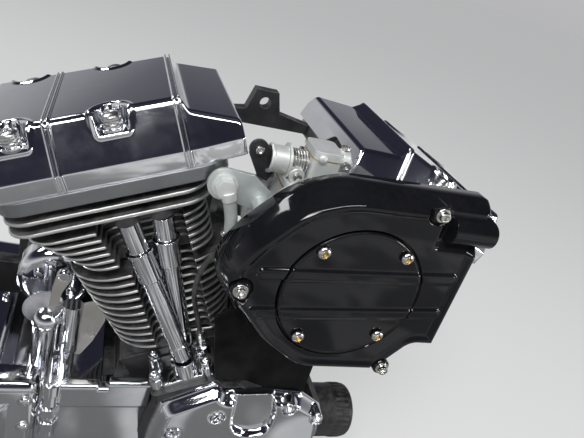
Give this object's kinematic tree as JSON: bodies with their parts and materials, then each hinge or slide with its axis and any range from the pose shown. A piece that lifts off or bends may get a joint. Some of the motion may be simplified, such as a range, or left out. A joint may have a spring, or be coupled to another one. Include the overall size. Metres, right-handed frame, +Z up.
{
  "type": "v-twin motorcycle engine and gearbox",
  "caption": "Air-cooled V-twin power unit with finned cylinders, chrome rocker and cam covers, pushrod tubes, black air cleaner, primary drive, starter and gearbox with its belt pulley.",
  "frame": {"origin": "middle of the swingarm pivot bore at the back of the gearbox", "axes": "+X forward along the motorcycle, +Y to the rider's left along the crankshaft and pivot, +Z up"},
  "size_m": [0.731, 0.344, 0.5598],
  "materials": {
    "chrome": "bright mirror chrome plate with fine wear",
    "black_case": "satin black powder coat over cast aluminium",
    "black_fins": "satin black paint with bright machined fin edges",
    "gloss_black": "deep gloss black paint",
    "satin_alloy": "satin machined aluminium",
    "cast_alloy": "bare cast aluminium",
    "steel": "turned and plated steel",
    "ceramic": "glazed white insulator",
    "hose": "grey rubber hose"
  },
  "bodies": {
    "unit": {"crankcase_right": "black_case", "crankcase_left": "black_case", "cam_cover": "chrome", "timer_cover": "chrome", "tappet_guard": "black_case", "tappet_cover_front": "chrome", "tappet_cover_rear": "chrome", "cylinder_front": "black_fins", "cylinder_rear": "black_fins", "head_front": "black_fins", "head_rear": "black_fins", "rocker_housing_front": "satin_alloy", "rocker_housing_rear": "satin_alloy", "rocker_cover_front": "chrome", "rocker_cover_rear": "chrome", "pushrod_tube_exhaust_front": "chrome", "pushrod_tube_exhaust_rear": "chrome", "pushrod_tube_intake_front": "chrome", "pushrod_tube_intake_rear": "chrome", "intake_manifold": "satin_alloy", "throttle_body": "cast_alloy", "throttle_wheel": "steel", "air_cleaner_backplate": "satin_alloy", "air_cleaner_cover": "gloss_black", "air_cleaner_insert": "gloss_black", "breather_fitting": "cast_alloy", "oil_filter": "black_case", "filter_neck": "cast_alloy", "front_mount": "black_case", "gearbox_case": "chrome", "gearbox_shoulder": "chrome", "gearbox_side_cover": "chrome", "gearbox_top_plate": "chrome", "oil_filler": "chrome", "line_fitting": "chrome", "primary_inner": "black_case", "primary_cover": "chrome", "clutch_lid": "chrome", "inspection_lid": "chrome", "starter_motor": "black_case", "starter_cap": "chrome", "spark_plug_front": "ceramic", "spark_plug_rear": "ceramic", "top_mount": "black_case", "breather_hose": "hose", "sender": "steel", "sender_cable": "hose"},
    "pulley": {"belt_pulley": "steel"}
  },
  "joints": [
    {"name": "pulley_spin", "type": "hinge", "parent": "unit", "child": "pulley", "pos_m": [0.133, 0.089, 0.038], "axis": [0, 1, 0], "continuous": true}
  ]
}
